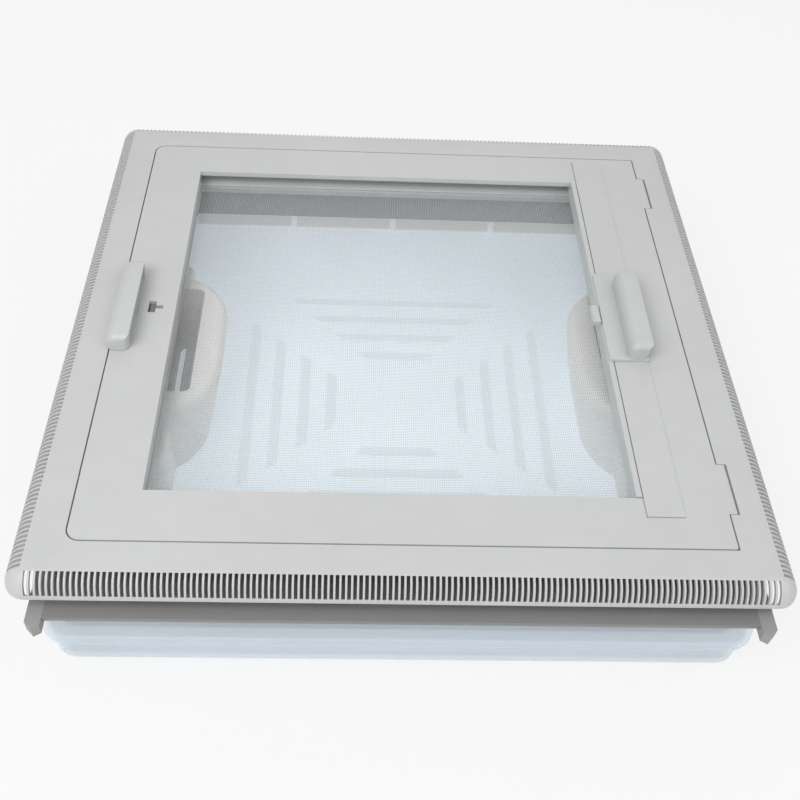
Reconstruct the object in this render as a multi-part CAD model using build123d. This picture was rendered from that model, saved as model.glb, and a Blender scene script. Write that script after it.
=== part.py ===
"""Roof window for a square cut-out in a camper roof, lying on its dome with the ceiling trim upward.

X runs from the latch side to the hinge side of the ceiling flap, Y from the near to the far side and
Z from the crown of the dome to the living space. The origin is the centre of the flat crown. Sizes
are in millimetres.
"""
import os
from math import atan2, cos, degrees, radians, sin, tan

from build123d import *

# Roof cut-out and the stack of heights above the crown
cutout = 400.0
cutout_play = 3.0
crown_depth = 29.0
skirt_depth = 33.0
skirt_gap = 11.0
flange_thick = 3.0
roof_gap = 10.0
trim_depth = 14.0
shoulder = crown_depth
skirt_top = shoulder + skirt_depth
flange_low = skirt_top + skirt_gap
flange_face = flange_low + flange_thick
trim_low = flange_face + roof_gap
trim_face = trim_low + trim_depth

# Play between pieces
contact_gap = 0.3
moving_gap = 0.5
pin_play = 0.05
overrun = 1.0

# Straight bands that stand in for a rounded edge
edge_bands = 2

# Roof frame
collar_half = cutout / 2 - cutout_play
collar_wall = 3.0
collar_corner = 5.0
collar_inner = collar_half - collar_wall
collar_rise = 14.0
upstand_drop = 38.0
upstand_low = flange_low - upstand_drop
flange_half_x = 208.5
flange_half_y = 235.4

# Side rails of the roof frame
rail_width = 9.0
rail_depth = 8.0
rail_tip = 7.6
rail_bevel = 5.0
rail_groove_edge = 2.0

# Dome
crown_half_x = 217.5
crown_half_y = 222.5
dome_slope = 5.0
dome_corner = 14.0
crown_round = 8.0
skirt_step = 4.0
skirt_draft = 4.0
skirt_round = 3.0
dome_wall = 2.8
skirt_half_x = crown_half_x + skirt_step
skirt_half_y = crown_half_y + skirt_step

# Inner pane of the dome
pane_low = 6.0
pane_thick = 2.5
pane_top = pane_low + pane_thick
tray_margin = 7.5
tray_corner = 12.0
pane_round = 6.0
pane_ledge_low = shoulder + dome_wall
pane_ledge_top = pane_ledge_low + pane_thick
pane_ledge_gap = 1.0
wall_rib_width = 5.0
wall_rib_depth = 3.0
wall_rib_pitch = 88.0
star_first = 50.0
star_pitch = 20.6
star_half = 28.0
star_growth = 18.4
star_width = 6.5
star_end = 2.0
star_rise = 1.1
star_rows = 4

# Seal round the upstand, against the tray's wall
seal_reach = 3.0
seal_depth = 8.4
seal_bevel = 2.4

# Handles on the dome
handle_top = 72.0
grip_inner_x = 118.0
grip_half_y = 80.0
grip_corner = 50.0
grip_slope = 7.0
grip_round = 6.0
grip_wall = 2.6
well_inner_x = 145.0
well_half_y = 53.0
well_corner = 5.0
well_slope = 10.7
back_inner_x = 170.0
back_wall = 3.0
back_half_y = 120.0
back_top = 55.0
back_corner = 9.0

# Stays, their guides and pivots
pivot_x = 186.4
pivot_z = 14.3
pivot_radius = 2.0
eye_radius = 3.8
stay_thick = 3.0
stay_width = 40.0
stay_top = 89.0
stay_corner = 5.0
stay_slot_width = 12.0
guide_low = 20.0
guide_top = 58.0
guide_back = 191.3
guide_base = 2.0
guide_front = 179.5
guide_lip = 1.5
guide_lip_reach = 4.5
guide_side = 3.5
guide_seat_low = 54.0
lug_thick = 4.0
pad_thick = 1.2
pad_half_y = 12.0
pad_depth = 10.0

# Ceiling trim frame
trim_half = 230.0
trim_wall = 2.5
edge_round = 13.0
trim_corner = 13.5
facet_low = 10.0
facet_high = 78.0
slot_pitch = 7.0
slot_width = 4.05
slot_margin = 0.2
slot_corner = 15.0
flap_seam = 1.0
ledge_gap = 0.5
ledge_thick = 2.5
latch_notch_half = 14.0
trim_collar_play = 0.6
trim_collar_wall = 2.0
trim_collar_low = 60.0

# Flap with the fly screen
flap_half = 198.0
flap_right = 197.0
flap_plate = 2.5
flap_corner = 8.0
flap_hinge_corner = 1.5
window_left = -159.0
window_right = 144.0
window_near = -161.0
window_far = 164.0
frame_wall = 2.0
rail_room = 12.5
screen_plate = 2.0
screen_low = 84.0
screen_thick = 0.5
screen_margin = 3.0
screen_rows = 8
screen_columns = 8
screen_strand = 1.6
tee_left = -178.2
tee_step = -172.9
tee_right = -167.8
tee_centre_y = 1.8
tee_head = 11.4
tee_neck = 3.1

# Flap hinge
hinge_x = 201.2
hinge_z = 97.8
hinge_barrel = 2.2
hinge_pin_radius = 1.1
hinge_tab_near = 133.0
hinge_tab_far = 172.0
hinge_boss = 6.0
hinge_web = 4.0

# Latch of the flap
grip_length = 81.0
grip_centre_y = -2.5
grip_width = 16.0
grip_height = 12.6
grip_draft = 2.0
grip_top_round = 5.5
grip_undercut = 3.0
grip_undercut_depth = 5.0
latch_grip_x = -191.8
latch_travel = 3.0
bolt_half = 12.0
bolt_neck_half = 6.0
bolt_thick = 1.9
bolt_drop = 1.6
bolt_tip = -190.6
bolt_tail = -183.5
bolt_neck_left = -187.6
bolt_neck_right = -185.6

# Pleated blind, parked at the hinge side
cover_left = 145.9
cover_right = 169.4
cover_near = -175.4
cover_far = 193.0
cover_rise = 0.8
cover_recess = 1.5
bar_left = 141.5
bar_width = 4.0
end_bar_low = 88.0
end_bar_rise = 1.0
end_bar_round = 0.8
blind_rail_lip = 1.2
blind_rail_low = 86.6
shoe_length = 6.0
shoe_reach = 8.5
pleat_count = 21
pleat_pitch = 1.02
pleat_cloth = 2.2
pleat_gap = 0.35
plate_right = 170.3
plate_length = 90.0
plate_centre_y = 2.0
plate_thick = 2.0
plate_corner = 1.5
blind_grip_x = 163.2
catch_left = 135.5
catch_length = 17.5
catch_centre_y = 1.8
catch_height = 4.6
catch_lift = 0.1
catch_bevel = 0.8


def block(x_low, x_high, y_low, y_high, z_low, z_high):
    """Box between the given planes."""
    size = (x_high - x_low, y_high - y_low, z_high - z_low)
    return Pos((x_low + x_high) / 2, (y_low + y_high) / 2, (z_low + z_high) / 2) * Box(*size)


def outline(x_low, x_high, y_low, y_high, corner, z):
    """Rectangle lying at height z, with round corners where a radius is given."""
    width, depth = x_high - x_low, y_high - y_low
    sheet = RectangleRounded(width, depth, corner) if corner > 0 else Rectangle(width, depth)
    return Pos((x_low + x_high) / 2, (y_low + y_high) / 2, z) * sheet


def square(half_x, half_y, corner, z):
    """Rounded rectangle centred on the origin."""
    return outline(-half_x, half_x, -half_y, half_y, corner, z)


def prism(sheet, height):
    """Straight block raised from a flat outline."""
    return extrude(sheet, amount=height, dir=(0, 0, 1))


def tapered(sheet, height, slope):
    """Block from a flat outline up, or down for a negative height, its sides leaning inward."""
    return extrude(sheet, amount=height, taper=slope)


def rounded_block(plan, level, height, slope, radius, turns=None):
    """Block with leaning sides whose far edge is rounded in straight bands.

    The plan gives the outline for an inset, a negative height goes down and turns are the angles
    between the bands, from the side's slope to the flat end.
    """
    if turns is None:
        turns = [slope + (90 - slope) * band / edge_bands for band in range(edge_bands + 1)]
    toward = 1 if height > 0 else -1
    reach = abs(height) - radius * (1 - sin(radians(slope)))
    form = tapered(Pos(0, 0, level) * plan(0), toward * reach, slope)
    inset = reach * tan(radians(slope))
    for low, high in zip(turns, turns[1:]):
        rise = radius * (sin(radians(high)) - sin(radians(low)))
        step = radius * (cos(radians(low)) - cos(radians(high)))
        sheet = Pos(0, 0, level + toward * reach) * plan(inset)
        form += tapered(sheet, toward * rise, degrees(atan2(step, rise)))
        reach += rise
        inset += step
    return form


def wall_ring(half_x, half_y, corner, wall, z_low, z_high):
    """Upright wall that follows a rounded rectangle, inward from its outer face."""
    outer = square(half_x, half_y, corner, z_low)
    inner = square(half_x - wall, half_y - wall, max(corner - wall, 0.5), z_low)
    return prism(outer - inner, z_high - z_low)


def on_four_sides(shape):
    """The shape of the +X side and its copies on the other three sides of a square."""
    return [Rot(0, 0, 90 * turn) * shape for turn in range(4)]


def top_edges(shape):
    """Edges in the highest plane of a shape."""
    return shape.edges().group_by(Axis.Z)[-1]


def to_right(shape):
    """Mirror image on the hinge side."""
    return mirror(shape, Plane.YZ)


# Roof frame

def roof_frame():
    """Flange on the roof skin, collar into the cut-out and upstand towards the dome."""
    flange = prism(square(flange_half_x, flange_half_y, 0, flange_low), flange_thick)
    wall = wall_ring(collar_half, collar_half, collar_corner, collar_wall, upstand_low,
                     flange_face + collar_rise)
    hole = square(collar_inner, collar_inner, collar_corner - collar_wall, flange_low)
    return flange - prism(hole, flange_thick) + wall


def side_rail():
    """Bar along the flange's left edge, with bevelled tips past its near and far edges."""
    left = -flange_half_x - rail_width
    reach = flange_half_y + rail_tip
    plan = Polygon(
        (left, -reach + rail_bevel),
        (left + rail_bevel, -reach),
        (-flange_half_x, -reach + rail_bevel / 2),
        (-flange_half_x, reach - rail_bevel / 2),
        (left + rail_bevel, reach),
        (left, reach - rail_bevel),
        align=None,
    )
    rail = prism(Pos(0, 0, flange_face - rail_depth) * plan, rail_depth)
    groove = block(left + rail_groove_edge, -flange_half_x - rail_groove_edge, -flange_half_y,
                   flange_half_y, flange_face - rail_depth, flange_face - rail_depth / 2)
    return rail - groove


def frame_seal():
    """Bulb seal round the outside of the upstand, its rim over the ledge of the inner pane."""
    low = pane_ledge_top + contact_gap
    step = tray_margin + pane_thick - seal_reach
    corner = tray_corner - pane_thick + seal_reach
    bulb = prism(square(crown_half_x - step, crown_half_y - step, corner, low), seal_depth)
    bulb = chamfer(top_edges(bulb), seal_bevel)
    return bulb - prism(square(collar_half, collar_half, collar_corner, low), seal_depth)


# Dome

def dome_form(inset, z_high):
    """Filled shape of the dome: a tapered crown and the skirt above its shoulder."""
    level = shoulder + inset
    slope = radians(dome_slope)
    inward = inset * (1 - sin(slope)) / cos(slope)

    def crown_plan(step):
        step += inward
        return square(crown_half_x - step, crown_half_y - step, dome_corner - step, 0)

    turns = None if inset == 0 else (dome_slope, 90)
    crown = rounded_block(crown_plan, level, -crown_depth, dome_slope, crown_round - inset, turns)
    draft = radians(skirt_draft)
    outset = inset * (1 + sin(draft)) / cos(draft) + tan(draft) * (z_high - level)

    def skirt_plan(step):
        step += outset
        return square(skirt_half_x - step, skirt_half_y - step, dome_corner + skirt_step - step, 0)

    if inset > 0:
        return crown + tapered(Pos(0, 0, z_high) * skirt_plan(0), level - z_high, -skirt_draft)
    return crown + rounded_block(skirt_plan, z_high, level - z_high, -skirt_draft, skirt_round)


def dome_outer_pane():
    """Outer shell of the dome."""
    return dome_form(0, skirt_top) - dome_form(dome_wall, skirt_top + overrun)


def tray_form(inset, z_low, z_high):
    """Filled shape of the inner pane's tray, its walls in line with the crown's."""
    slope = radians(dome_slope)
    inward = tray_margin + inset / cos(slope) - tan(slope) * (z_high - shoulder)

    def plan(step):
        step += inward
        corner = tray_corner + tray_margin - step
        return square(crown_half_x - step, crown_half_y - step, corner, 0)

    return rounded_block(plan, z_high, z_low - z_high, dome_slope, pane_round - inset)


def star_bars():
    """Raised bars of the inner pane, four rows that grow away from the centre on each side."""
    bars = []
    for row in range(star_rows):
        bar = Rectangle(star_width, 2 * (star_half + row * star_growth))
        bar = chamfer(bar.vertices(), star_end)
        bar = Pos(star_first + row * star_pitch, 0, pane_top) * bar
        bars += on_four_sides(prism(bar, star_rise))
    return bars


def dome_inner_pane():
    """Inner pane: a tray with a ledge on the dome's shoulder, ribs in its walls and a star of bars."""
    filled = tray_form(0, pane_low, pane_ledge_top)
    draft = radians(skirt_draft)
    inward = tan(draft) * (pane_ledge_top - shoulder) + dome_wall / cos(draft) + pane_ledge_gap
    ledge = square(skirt_half_x - inward, skirt_half_y - inward, dome_corner + skirt_step - inward,
                   pane_ledge_low)
    pane = filled + prism(ledge, pane_thick) - tray_form(pane_thick, pane_top, pane_ledge_top + overrun)
    slope = radians(dome_slope)
    foot = tray_margin + pane_thick / cos(slope) + tan(slope) * (shoulder - pane_top)
    inner = crown_half_y - foot - wall_rib_depth
    core = tray_form(pane_thick / 2, pane_low + pane_thick / 2, pane_ledge_top)
    ribs = []
    for column in (-1, 0, 1):
        x = column * wall_rib_pitch
        rib = core & block(x - wall_rib_width / 2, x + wall_rib_width / 2, inner, crown_half_y,
                           pane_low, pane_ledge_low)
        ribs += [rib, mirror(rib, Plane.XZ)]
    return pane + ribs + star_bars()


# Handles

def grip_form(inset, z_high):
    """Filled grip block on the left: D outline that leans inward on its way up from the pane."""
    inward = inset / cos(radians(grip_slope))

    def plan(step):
        step += inward
        inner = -grip_inner_x - step
        corner = grip_corner - step
        half = grip_half_y - step
        return outline(inner - 2 * corner - overrun, inner, -half, half, corner, 0)

    turns = None if inset == 0 else (grip_slope, 90)
    return rounded_block(plan, pane_top, z_high - pane_top, grip_slope, grip_round - inset, turns)


def well_form(inset, z_low, z_high):
    """Filled finger well between the back wall and an inner wall that leans towards the pane."""
    lean = tan(radians(well_slope))
    inward = inset / cos(radians(well_slope))
    side = Polygon(
        (-back_inner_x - inset, z_low),
        (-well_inner_x + inward + lean * (handle_top - z_low), z_low),
        (-well_inner_x + inward + lean * (handle_top - z_high), z_high),
        (-back_inner_x - inset, z_high),
        align=None,
    )
    well = extrude(Plane.XZ * side, amount=well_half_y + inset, both=True)
    upright = [edge for edge in well.edges() if edge.bounding_box().size.Z > overrun]
    return fillet(upright, well_corner + inset)


def left_handle():
    """Hollow grip with a finger well, on a back wall that carries the stay's pivot lugs."""
    back_outer_x = back_inner_x + back_wall
    keep = block(-back_outer_x, 0, -grip_half_y, grip_half_y, pane_top, handle_top)
    grip = grip_form(0, handle_top) & keep
    room = block(-back_inner_x, 0, -grip_half_y, grip_half_y, pane_top, handle_top)
    funnel = well_form(grip_wall, pane_top, handle_top - grip_wall) & grip
    back = block(-back_outer_x, -back_inner_x, -back_half_y, back_half_y, pane_top, back_top)
    ends = back.edges().filter_by(Axis.X).group_by(Axis.Z)[-1]
    handle = grip - (grip_form(grip_wall, handle_top - grip_wall) & room) + funnel
    handle += chamfer(ends, back_corner)
    handle -= well_form(0, pane_top - overrun, handle_top + overrun)
    lug_low = stay_width / 2 + moving_gap
    for side in (-1, 1):
        lug = Polygon(
            (-back_outer_x, pivot_z - eye_radius),
            (-pivot_x - eye_radius / 2, pivot_z - eye_radius),
            (-pivot_x - eye_radius, pivot_z - eye_radius / 2),
            (-pivot_x - eye_radius, pivot_z + eye_radius / 2),
            (-pivot_x - eye_radius / 2, pivot_z + eye_radius),
            (-back_outer_x, pivot_z + eye_radius),
            align=None,
        )
        lug = extrude(Plane.XZ * lug, amount=lug_thick, dir=(0, side, 0))
        handle += Pos(0, side * lug_low, 0) * lug
    return handle - Pos(-pivot_x, 0, pivot_z) * Rot(90, 0, 0) * Cylinder(pivot_radius, 2 * stay_width)


def left_pivot_pin():
    """Pin through the handle's lugs and the stay's eye."""
    length = stay_width + 2 * moving_gap + 2 * lug_thick
    return Pos(-pivot_x, 0, pivot_z) * Rot(90, 0, 0) * Cylinder(pivot_radius, length)


# Stays and guides

def left_stay():
    """Flat stay with an eye for the pivot pin and a long lightening slot."""
    plate = block(-pivot_x - stay_thick / 2, -pivot_x + stay_thick / 2, -stay_width / 2,
                  stay_width / 2, pivot_z, stay_top)
    plate = chamfer(plate.edges().filter_by(Axis.X).group_by(Axis.Z)[-1], stay_corner)
    eye = Pos(-pivot_x, 0, pivot_z) * Rot(90, 0, 0) * Cylinder(eye_radius, stay_width)
    low = pivot_z + 2 * eye_radius
    high = stay_top - stay_slot_width
    slot = block(-pivot_x - stay_thick, -pivot_x + stay_thick, -stay_slot_width / 2,
                 stay_slot_width / 2, low, high)
    bore = Pos(-pivot_x, 0, pivot_z) * Rot(90, 0, 0) * Cylinder(pivot_radius + pin_play, 2 * stay_width)
    return plate + eye - slot - bore


def left_stay_guide():
    """Channel inside the upstand that holds the stay's edges."""
    inner_half = stay_width / 2 + moving_gap
    outer_half = inner_half + guide_side
    mouth_half = inner_half - guide_lip_reach
    back = -guide_back
    body = block(back, -guide_front, -outer_half, outer_half, guide_low, guide_top)
    body -= block(back + guide_base, -guide_front - guide_lip, -inner_half, inner_half,
                  guide_low, guide_top)
    body -= block(-guide_front - guide_lip, -guide_front, -mouth_half, mouth_half, guide_low, guide_top)
    seat = block(-collar_inner, back, -outer_half, outer_half, guide_seat_low, guide_top)
    return body + seat


def left_stay_pad():
    """Friction pad in the guide, behind the stay."""
    back = -guide_back + guide_base
    low = (guide_low + guide_top - pad_depth) / 2
    return block(back, back + pad_thick, -pad_half_y, pad_half_y, low, low + pad_depth)


# Ceiling trim

def edge_point(angle, radius):
    """Half size and height of the trim's rounded edge at an angle from its outer side."""
    half = trim_half - edge_round + radius * cos(radians(angle))
    return half, trim_face - edge_round + radius * sin(radians(angle))


def trim_plan(inset):
    """Outline of the trim, moved inward."""
    return square(trim_half - inset, trim_half - inset, trim_corner - inset, 0)


def trim_form(inset):
    """Filled trim with its rounded edge in three facets, the middle one carrying the slots."""
    turns = (0, facet_low, facet_high, 90) if inset == 0 else (0, 90)
    return rounded_block(lambda step: trim_plan(inset + step), trim_low - inset, trim_depth, 0,
                         edge_round - inset, turns)


def slot_comb():
    """Comb whose teeth cut one side's vent slots through the middle facet of the edge."""
    low_half, low_height = edge_point(facet_low, edge_round)
    high_half, high_height = edge_point(facet_high, edge_round)
    start = Vector(low_half, 0, low_height)
    along = Vector(high_half, 0, high_height) - start
    slope = along.normalized()
    count = int(2 * (trim_half - slot_corner) / slot_pitch)
    first = -(count - 1) / 2 * slot_pitch
    depth = 2 * trim_wall
    teeth = [Pos(first + index * slot_pitch, (depth - overrun) / 2) * Rectangle(slot_width, depth + overrun)
             for index in range(count)]
    spine = Pos(0, -3 * overrun / 2) * Rectangle(count * slot_pitch, overrun)
    length = along.length * (edge_round - trim_wall) / edge_round - 2 * slot_margin
    plane = Plane(origin=start + slope * (along.length - length) / 2, x_dir=(0, 1, 0), z_dir=slope)
    return extrude(plane * (spine + teeth), amount=length)


def hinge_bays(play):
    """Boxes round the two hinge tabs of the flap."""
    edge = hinge_x + hinge_barrel + play
    low = hinge_z - hinge_barrel - play
    spans = ((hinge_tab_near, hinge_tab_far), (-hinge_tab_far, -hinge_tab_near))
    return [(flap_right - play, edge, near - play, far + play, low, trim_face)
            for near, far in spans]


def trim_frame():
    """Ceiling trim: slotted rounded edge, seat for the flap and collar into the roof frame."""
    ledge_top = trim_face - flap_plate - ledge_gap
    ledge_low = ledge_top - ledge_thick
    collar = collar_inner - trim_collar_play
    collar_edge = collar - trim_collar_wall
    bed = flap_half + flap_seam
    bed_wall = bed + trim_wall
    frame = trim_form(0) - trim_form(trim_wall)
    frame += wall_ring(bed_wall, bed_wall, flap_corner + trim_wall, trim_wall, ledge_low, trim_face)
    frame += wall_ring(bed_wall, bed_wall, flap_corner + trim_wall, bed_wall - collar_edge,
                       ledge_low, ledge_top)
    frame += wall_ring(collar, collar, collar_corner - collar_wall, trim_collar_wall,
                       trim_collar_low, ledge_top)
    for x_low, x_high, near, far, low, high in hinge_bays(moving_gap + hinge_boss):
        frame += block(bed_wall - trim_wall, x_high - hinge_boss + trim_wall, near, far, ledge_low, trim_face)
    bed_sheet = outline(-bed, flap_right + flap_seam, -bed, bed, flap_corner, ledge_top)
    frame -= prism(bed_sheet, trim_depth)
    frame -= prism(outline(0, flap_right + flap_seam, -bed, bed, flap_hinge_corner, ledge_top), trim_depth)
    for x_low, x_high, near, far, low, high in hinge_bays(moving_gap):
        frame -= block(collar_edge + trim_collar_wall, x_high, near, far, ledge_low, high)
    for side in (-1, 1):
        middle = side * (hinge_tab_near + hinge_tab_far) / 2
        length = hinge_tab_far - hinge_tab_near + 2 * hinge_boss
        frame -= Pos(hinge_x, middle, hinge_z) * Rot(90, 0, 0) * Cylinder(hinge_pin_radius, length)
    frame -= on_four_sides(slot_comb())
    return frame - block(-collar, -collar_edge, -latch_notch_half, latch_notch_half,
                         trim_collar_low, ledge_low)


def hinge_pin(side):
    """Pin of one hinge tab, held in the trim on both ends."""
    middle = side * (hinge_tab_near + hinge_tab_far) / 2
    length = hinge_tab_far - hinge_tab_near + 2 * hinge_boss
    return Pos(hinge_x, middle, hinge_z) * Rot(90, 0, 0) * Cylinder(hinge_pin_radius, length)


# Flap

def flap_outline(z):
    """Plan of the flap: round corners on the latch side, sharp ones on the hinge side."""
    left = outline(-flap_half, 0, -flap_half, flap_half, flap_corner, z)
    right = outline(-flap_half / 2, flap_right, -flap_half, flap_half, flap_hinge_corner, z)
    return left + right


def inner_box():
    """Plan limits of the flap's inner wall: left, right, near and far outer faces."""
    left = window_left - frame_wall - 2 * moving_gap
    right = cover_right + 2 * frame_wall
    near = window_near - rail_room - frame_wall
    far = window_far + rail_room + frame_wall
    return left, right, near, far


def flap_frame():
    """Flap plate with the window, the seat of the blind's cover, an inner wall and hinge tabs."""
    low = trim_face - flap_plate
    left, right, near, far = inner_box()
    flap = prism(flap_outline(low), flap_plate)
    wall_low = screen_low + screen_plate
    wall = outline(left, right, near, far, 0, wall_low)
    wall -= outline(left + frame_wall, right - frame_wall, near + frame_wall, far - frame_wall, 0, wall_low)
    flap += prism(wall, low - wall_low + flap_plate / 2)
    flap -= prism(outline(window_left, window_right, window_near, window_far, 0, low), flap_plate)
    flap -= block(window_right - frame_wall, cover_right + moving_gap / 2, window_near, window_far, low, trim_face)
    seat_low = trim_face - cover_recess
    flap -= block(cover_left - moving_gap / 2, cover_right + moving_gap / 2, cover_near - moving_gap / 2,
                  cover_far + moving_gap / 2, seat_low, trim_face)
    for side in (-1, 1):
        barrel = Pos(hinge_x, hinge_z) * Circle(hinge_barrel)
        web = Polygon(
            (flap_right - hinge_web, low),
            (flap_right - hinge_web, trim_face),
            (hinge_x, trim_face),
            (hinge_x, hinge_z - hinge_barrel),
            (flap_right, hinge_z - hinge_barrel),
            align=None,
        )
        length = hinge_tab_far - hinge_tab_near
        middle = side * (hinge_tab_near + hinge_tab_far) / 2
        tab = Pos(0, middle, 0) * extrude(Plane.XZ * (barrel + web), amount=length / 2, both=True)
        flap += tab
        bore = Cylinder(hinge_pin_radius + pin_play, 2 * length)
        flap -= Pos(hinge_x, middle, hinge_z) * Rot(90, 0, 0) * bore
    flap -= block(tee_left, tee_step, tee_centre_y - tee_head / 2, tee_centre_y + tee_head / 2, low, trim_face)
    flap -= block(tee_step, tee_right, tee_centre_y - tee_neck / 2, tee_centre_y + tee_neck / 2, low, trim_face)
    flap -= block(bolt_neck_left - latch_travel - moving_gap, bolt_neck_right + moving_gap,
                  -bolt_neck_half - moving_gap, bolt_neck_half + moving_gap, low, trim_face)
    return flap


def screen_frame():
    """Flat ring below the flap's inner wall that carries the fly screen."""
    left, right, near, far = inner_box()
    ring = outline(left, right, near, far, 0, screen_low)
    ring -= outline(window_left, window_right, window_near, window_far, 0, screen_low)
    return prism(ring, screen_plate)


def fly_screen():
    """Net across the window, one face with a grid of gaps."""
    low = screen_low + screen_plate
    left, right = window_left - frame_wall / 2, window_right + screen_margin
    near, far = window_near - screen_margin, window_far + screen_margin
    sheet = Pos((left + right) / 2, (near + far) / 2, low) * Rectangle(right - left, far - near)
    pitch_x = (window_right - window_left) / screen_columns
    pitch_y = (window_far - window_near) / screen_rows
    gap = Rectangle(pitch_x - screen_strand, pitch_y - screen_strand)
    gaps = [Pos(window_left + (column + 0.5) * pitch_x, window_near + (row + 0.5) * pitch_y, low) * gap
            for column in range(screen_columns) for row in range(screen_rows)]
    return prism(sheet - gaps, screen_thick)


def blind_rail(far_side):
    """Channel under the near or far strip of the flap, open towards the window."""
    left, right, near, far = inner_box()
    front = window_far if far_side else window_near
    back = far - frame_wall if far_side else near + frame_wall
    inner_back = back - frame_wall if far_side else back + frame_wall
    y_low, y_high = min(front, back), max(front, back)
    high = trim_face - flap_plate
    rail = block(left + frame_wall, right - frame_wall, y_low, y_high, blind_rail_low, high)
    hollow_low, hollow_high = min(front, inner_back), max(front, inner_back)
    return rail - block(left + frame_wall, right - frame_wall, hollow_low, hollow_high,
                        blind_rail_low + blind_rail_lip, high - blind_rail_lip)


def cassette_cover():
    """Strip over the folded blind."""
    return block(cover_left, cover_right, cover_near, cover_far, trim_face - cover_recess,
                 trim_face + cover_rise)


# Grips, shared by the latch and the blind

def grip_bar(x, z_low):
    """Rounded finger bar with a tapering undercut along its inner side."""
    turned = Pos(x, grip_centre_y) * Rot(0, 0, 90)

    def plan(inset):
        return turned * SlotOverall(grip_length - 2 * inset, grip_width - 2 * inset)

    bar = rounded_block(plan, z_low, grip_height, grip_draft, grip_top_round)
    side = Polygon(
        (x + grip_width / 2, z_low),
        (x + grip_width / 2, z_low + grip_undercut_depth),
        (x + grip_width / 2 - grip_undercut, z_low),
        align=None,
    )
    return bar - Pos(0, grip_centre_y, 0) * extrude(Plane.XZ * side, amount=grip_length / 2, both=True)


def latch_grip():
    """Finger bar of the sliding latch."""
    return grip_bar(latch_grip_x, trim_face + contact_gap)


def latch_bolt():
    """Bolt under the flap plate, with a neck up through the plate to the grip."""
    high = trim_face - flap_plate - ledge_gap - ledge_thick - bolt_drop
    tongue = block(bolt_tip, bolt_tail, -bolt_half, bolt_half, high - bolt_thick, high)
    neck = block(bolt_neck_left, bolt_neck_right, -bolt_neck_half, bolt_neck_half, high,
                 trim_face + contact_gap)
    return tongue + neck


# Blind

def blind_end_bar():
    """Bar at the blind's free edge, with shoes in both rails."""
    high = trim_face + end_bar_rise
    bar = block(bar_left, bar_left + bar_width, window_near + moving_gap, window_far - moving_gap,
                end_bar_low, high)
    top = [edge for edge in bar.edges().filter_by(Axis.Y) if edge.center().Z > high - end_bar_rise]
    bar = fillet(top, end_bar_round)
    shoe_low = blind_rail_low + blind_rail_lip + moving_gap
    shoe_high = trim_face - flap_plate - blind_rail_lip - moving_gap
    middle = bar_left + bar_width / 2
    for start, end in ((window_near - shoe_reach, window_near + moving_gap + overrun),
                       (window_far - moving_gap - overrun, window_far + shoe_reach)):
        bar += block(middle - bar_width / 2, middle + bar_width / 2, start, end, shoe_low, shoe_high)
    return bar


def blind_fabric():
    """Pleated cloth, folded flat between the end bar and the flap's wall."""
    low = blind_rail_low + blind_rail_lip + pleat_gap
    high = trim_face - flap_plate - blind_rail_lip - pleat_gap
    start = bar_left + bar_width
    lower, upper = [], []
    for fold in range(2 * pleat_count + 1):
        x = start + fold * pleat_pitch / 2
        z = low if fold % 2 else high - pleat_cloth
        lower.append((x, z))
        upper.append((x, z + pleat_cloth))
    section = Polygon(*lower, *reversed(upper), align=None)
    near = window_near - shoe_reach
    far = window_far + shoe_reach
    middle = (near + far) / 2
    return Pos(0, middle, 0) * extrude(Plane.XZ * section, amount=(far - near) / 2, both=True)


def blind_grip():
    """Plate over the cover with the blind's finger bar on it."""
    low = trim_face + end_bar_rise
    half = plate_length / 2
    left = bar_left + bar_width / 4
    plate = outline(left, plate_right, plate_centre_y - half, plate_centre_y + half,
                    plate_corner, low)
    plate = prism(plate, plate_thick)
    return plate + grip_bar(blind_grip_x, low + plate_thick)


def blind_catch():
    """Catch that lands on the flap's latch-side strip when the blind is drawn."""
    low = trim_face + contact_gap + catch_lift
    half = catch_length / 2
    catch = block(catch_left, bar_left, catch_centre_y - half, catch_centre_y + half, low, low + catch_height)
    return chamfer(top_edges(catch), catch_bevel)


def build():
    """All sub-parts by name."""
    handle = left_handle()
    rail = side_rail()
    guide = left_stay_guide()
    pad = left_stay_pad()
    pin = left_pivot_pin()
    stay = left_stay()
    return {
        "roof_frame": roof_frame(),
        "left_side_rail": rail,
        "right_side_rail": to_right(rail),
        "frame_seal": frame_seal(),
        "left_stay_guide": guide,
        "right_stay_guide": to_right(guide),
        "left_stay_pad": pad,
        "right_stay_pad": to_right(pad),
        "dome_outer_pane": dome_outer_pane(),
        "dome_inner_pane": dome_inner_pane(),
        "left_handle": handle,
        "right_handle": to_right(handle),
        "left_pivot_pin": pin,
        "right_pivot_pin": to_right(pin),
        "left_stay": stay,
        "right_stay": to_right(stay),
        "trim_frame": trim_frame(),
        "near_hinge_pin": hinge_pin(-1),
        "far_hinge_pin": hinge_pin(1),
        "flap_frame": flap_frame(),
        "screen_frame": screen_frame(),
        "fly_screen": fly_screen(),
        "near_blind_rail": blind_rail(False),
        "far_blind_rail": blind_rail(True),
        "cassette_cover": cassette_cover(),
        "latch_grip": latch_grip(),
        "latch_bolt": latch_bolt(),
        "blind_end_bar": blind_end_bar(),
        "blind_grip": blind_grip(),
        "blind_catch": blind_catch(),
        "blind_fabric": blind_fabric(),
    }


os.makedirs("parts", exist_ok=True)
for name, shape in build().items():
    if isinstance(shape, list):
        shape = Compound(children=shape)
    export_step(shape, f"parts/{name}.step")
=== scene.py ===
"""Looks of a roof window that lies on its dome, with the ceiling trim upward.

The classes hold their sizes in millimetres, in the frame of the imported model. Blender gets metres.
"""
import logging
from abc import ABC, abstractmethod
from collections.abc import Callable, Sequence
from dataclasses import dataclass
from enum import Enum
from math import cos, pi, radians, sin

import bmesh
import bpy
from mathutils import Matrix, Vector


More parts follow.
